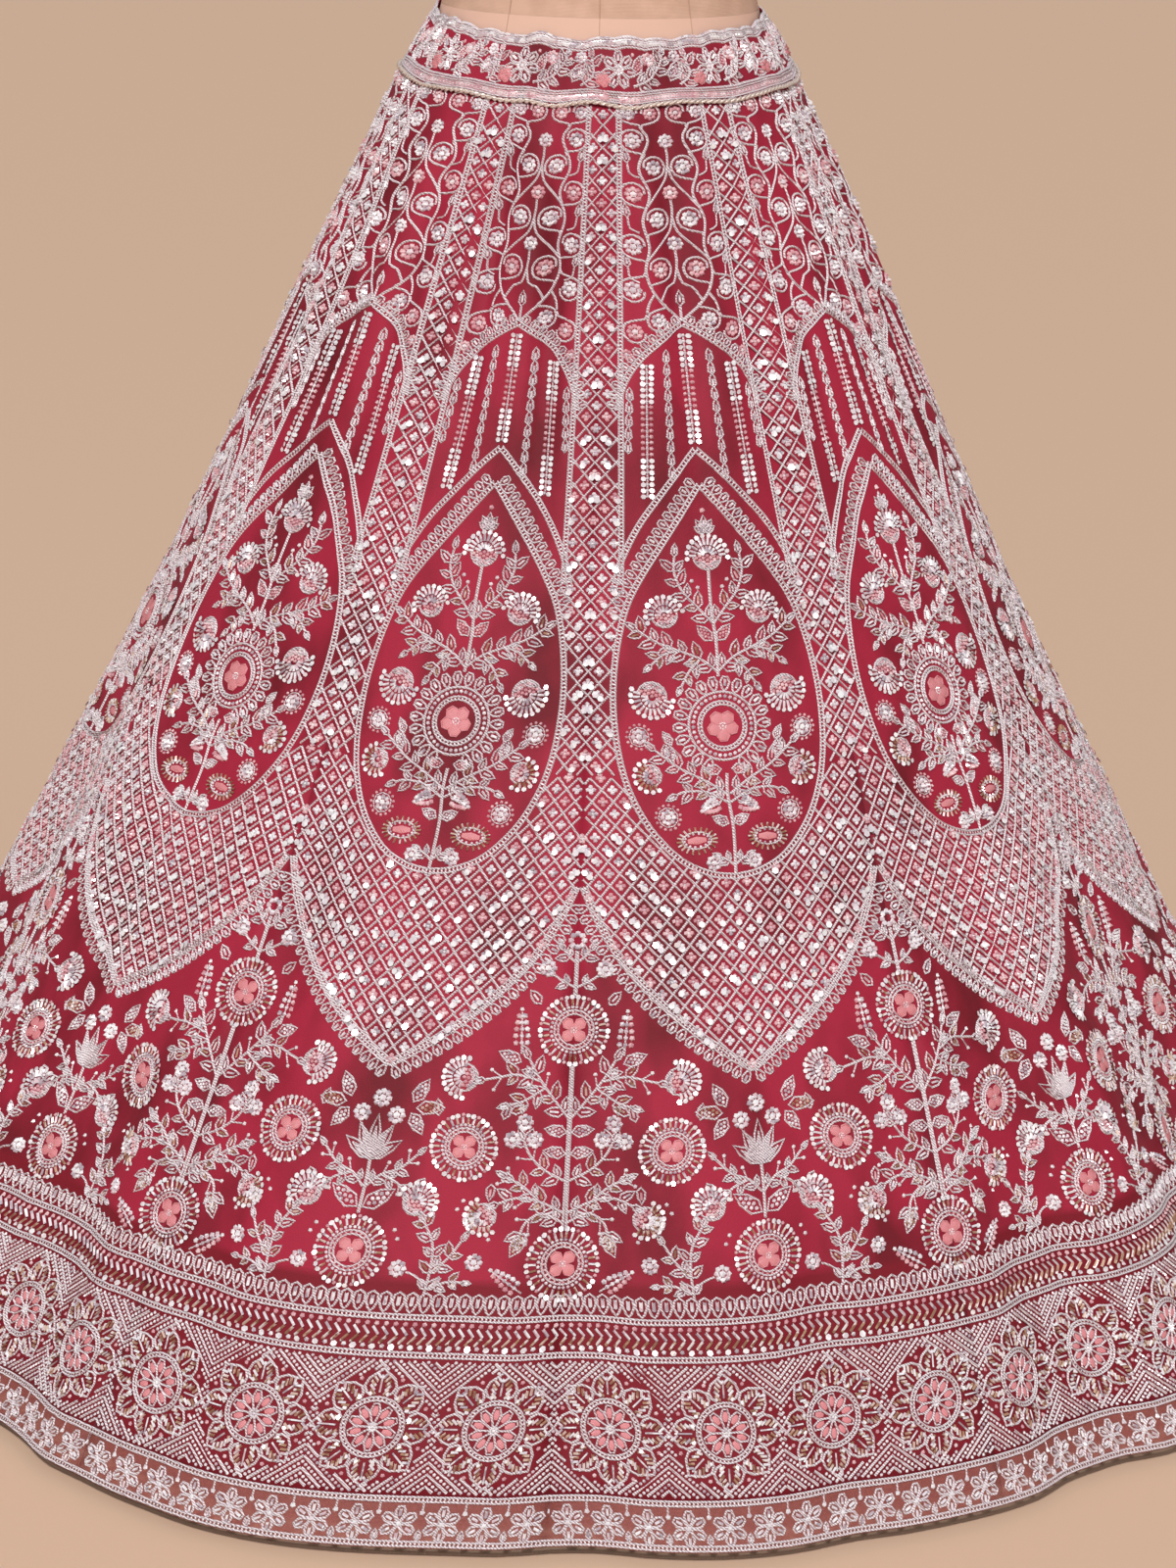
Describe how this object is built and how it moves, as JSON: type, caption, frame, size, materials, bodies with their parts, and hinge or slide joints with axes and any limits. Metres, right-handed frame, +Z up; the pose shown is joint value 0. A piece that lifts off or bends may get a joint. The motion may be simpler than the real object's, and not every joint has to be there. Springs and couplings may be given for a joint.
{
  "type": "lehenga skirt on a dress form",
  "caption": "Full-length flared lehenga skirt of joined gores with a sheer net hem border and a ruched waistband, worn on a limbless dress form with a pole and a round base.",
  "frame": {"origin": "centre of the dress form's base, on its underside, which stands on the floor", "axes": "+Z up along the form's pole, -Y towards the front of the skirt, +X to the right of someone facing the front"},
  "size_m": [1.2117, 1.2203, 1.4923],
  "materials": {
    "embroidered_net": "crimson net over satin lining",
    "sheer_net": "see-through net",
    "silver_braid": "silver-pink metallic thread braid",
    "metallic_cord": "twisted metallic cord",
    "beads": "silver-lined glass beads and sequins",
    "pink_thread": "pink silk thread",
    "gold_bugles": "gold-brown bugle beads",
    "form_linen": "plain linen",
    "stand_steel": "satin black",
    "cap_wood": "varnished"
  },
  "bodies": {
    "root": {"kali_01": "embroidered_net", "kali_02": "embroidered_net", "kali_03": "embroidered_net", "kali_04": "embroidered_net", "kali_05": "embroidered_net", "kali_06": "embroidered_net", "kali_07": "embroidered_net", "kali_08": "embroidered_net", "kali_09": "embroidered_net", "kali_10": "embroidered_net", "kali_11": "embroidered_net", "kali_12": "embroidered_net", "hem_net_01": "sheer_net", "hem_net_02": "sheer_net", "hem_net_03": "sheer_net", "hem_net_04": "sheer_net", "hem_net_05": "sheer_net", "hem_net_06": "sheer_net", "hem_net_07": "sheer_net", "hem_net_08": "sheer_net", "hem_net_09": "sheer_net", "hem_net_10": "sheer_net", "hem_net_11": "sheer_net", "hem_net_12": "sheer_net", "waistband_front": "embroidered_net", "waistband_back": "embroidered_net", "waist_lace": "silver_braid", "waist_braid": "silver_braid", "waist_piping": "metallic_cord", "form_torso": "form_linen", "form_neck_cap": "cap_wood", "form_pole": "stand_steel", "form_hub": "stand_steel", "form_base": "stand_steel"}
  },
  "joints": []
}
